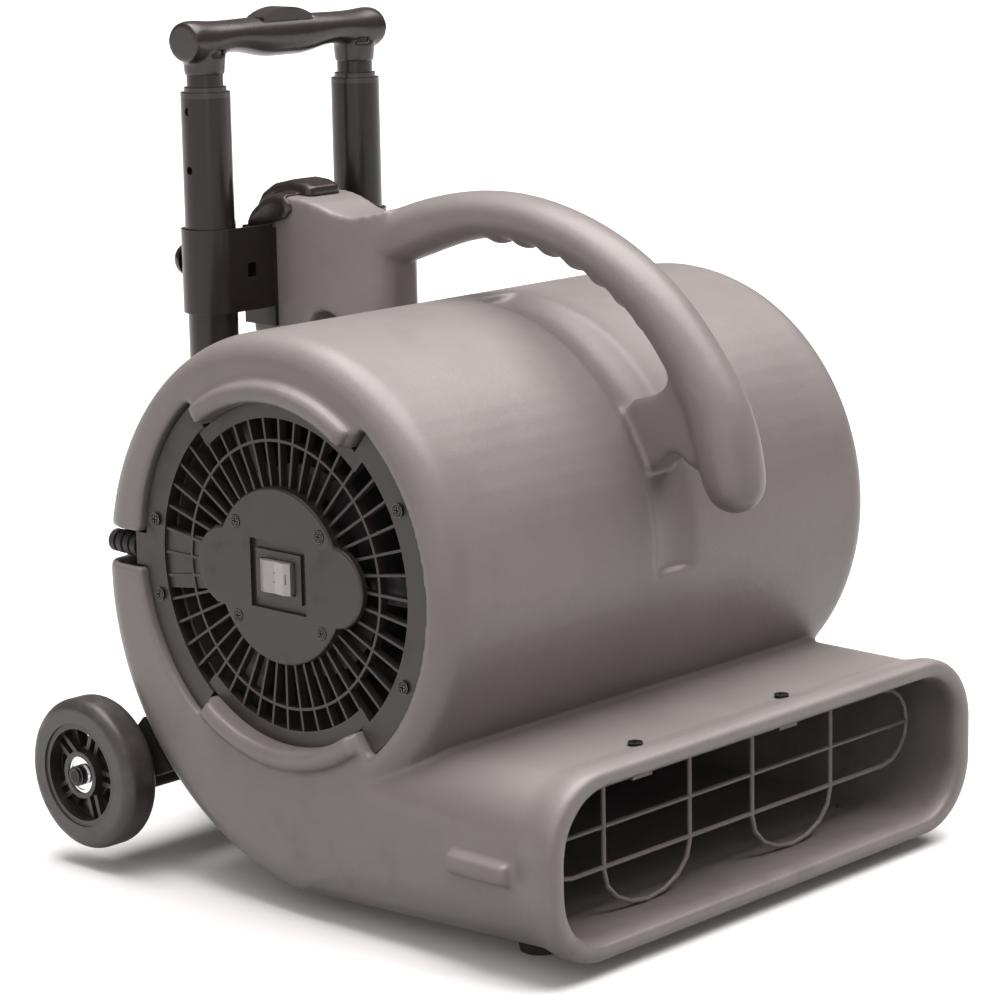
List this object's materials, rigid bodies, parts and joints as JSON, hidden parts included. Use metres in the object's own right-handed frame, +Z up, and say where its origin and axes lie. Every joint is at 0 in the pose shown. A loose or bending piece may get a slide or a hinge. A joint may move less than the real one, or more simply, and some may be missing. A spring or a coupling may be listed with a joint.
{
  "type": "centrifugal air mover",
  "caption": "Low floor-drying blower with a scroll drum, wide slot outlet, round side inlets, carry handle and telescopic trolley with rear wheels.",
  "frame": {"origin": "on the floor at the bottom centre of the bounding box, below the fan axis", "axes": "+Z up, +X along the fan axis away from the switch side, -Y the way the air blows, +Y towards the trolley"},
  "size_m": [0.414, 0.412, 0.491],
  "materials": {
    "housing_plastic": "fine rotomoulded texture, satin",
    "dark_plastic": "satin moulded",
    "black_gloss": "smooth moulded",
    "rocker_clear": "clear cover over grey rocker",
    "rubber_black": "matt",
    "tyre_rubber": "semi-gloss solid tyre",
    "wheel_plastic": "satin moulded",
    "bearing_steel": "ground and polished",
    "zinc_steel": "zinc plated",
    "black_steel": "black powder coat",
    "grid_wire": "grey coated wire",
    "fan_plastic": "moulded",
    "motor_paint": "black enamel",
    "motor_steel": "laminated electrical steel",
    "copper_winding": null,
    "capacitor_case": "moulded case"
  },
  "bodies": {
    "machine": {"housing": "housing_plastic", "inlet_grille_left": "dark_plastic", "inlet_grille_right": "dark_plastic", "switch_cover": "dark_plastic", "switch_body": "dark_plastic", "control_box": "dark_plastic", "axle_beam": "dark_plastic", "post_cap": "dark_plastic", "outer_collar_left": "black_gloss", "outer_collar_right": "black_gloss", "cord_gland": "rubber_black", "rubber_feet": "rubber_black", "motor_bearings": "bearing_steel", "cover_screws": "zinc_steel", "grille_screws": "zinc_steel", "motor_bolts": "zinc_steel", "foot_screws": "zinc_steel", "axle": "zinc_steel", "axle_nuts": "zinc_steel", "axle_spacers": "zinc_steel", "outlet_grid_screws": "zinc_steel", "outer_tube_left": "black_steel", "outer_tube_right": "black_steel", "post_bracket": "black_steel", "clamp_strap_left": "black_steel", "clamp_strap_right": "black_steel", "clamp_bolts": "black_steel", "outlet_grid": "grid_wire", "inlet_ring_left": "fan_plastic", "inlet_ring_right": "fan_plastic", "motor_bracket": "motor_paint", "motor_shell": "motor_paint", "motor_end_bell_outer": "motor_paint", "motor_end_bell_inner": "motor_paint", "motor_stator": "motor_steel", "motor_windings": "copper_winding", "capacitor": "capacitor_case"},
    "fan": {"motor_shaft": "zinc_steel", "motor_rotor": "motor_steel", "blower_wheel": "fan_plastic", "blower_hub": "fan_plastic", "hub_set_screw": "zinc_steel"},
    "rocker": {"rocker": "rocker_clear"},
    "wheel_left": {"tyre_left": "tyre_rubber", "wheel_hub_left": "wheel_plastic", "wheel_bearings_left": "bearing_steel"},
    "wheel_right": {"tyre_right": "tyre_rubber", "wheel_hub_right": "wheel_plastic", "wheel_bearings_right": "bearing_steel"},
    "mid_stage": {"mid_tube_left": "black_steel", "mid_tube_right": "black_steel", "mid_collars": "black_gloss", "mid_bushes": "dark_plastic"},
    "grip_stage": {"inner_tube_left": "black_steel", "inner_tube_right": "black_steel", "grip": "black_gloss", "button_spring": "zinc_steel"},
    "release_button": {"release_button": "black_gloss"}
  },
  "joints": [
    {"name": "fan_spin", "type": "hinge", "parent": "machine", "child": "fan", "pos_m": [0, 0, 0.1945], "axis": [1, 0, 0], "continuous": true},
    {"name": "rocker_tilt", "type": "hinge", "parent": "machine", "child": "rocker", "pos_m": [-0.173, 0, 0.1945], "axis": [0, 0, 1], "range_deg": [-10, 10]},
    {"name": "wheel_left_spin", "type": "hinge", "parent": "machine", "child": "wheel_left", "pos_m": [-0.192, 0.152, 0.057], "axis": [1, 0, 0], "continuous": true},
    {"name": "wheel_right_spin", "type": "hinge", "parent": "machine", "child": "wheel_right", "pos_m": [0.192, 0.152, 0.057], "axis": [1, 0, 0], "continuous": true},
    {"name": "mid_stage_slide", "type": "slide", "parent": "machine", "child": "mid_stage", "axis": [0, 0, 1], "range_m": [0, 0.26]},
    {"name": "grip_slide", "type": "slide", "parent": "mid_stage", "child": "grip_stage", "axis": [0, 0, 1], "range_m": [0, 0.26]},
    {"name": "button_press", "type": "slide", "parent": "grip_stage", "child": "release_button", "axis": [0, 0, -1], "range_m": [0, 0.004], "stiffness_N_per_m": 300, "springref_m": -0.002, "deforming": ["button_spring"]}
  ]
}
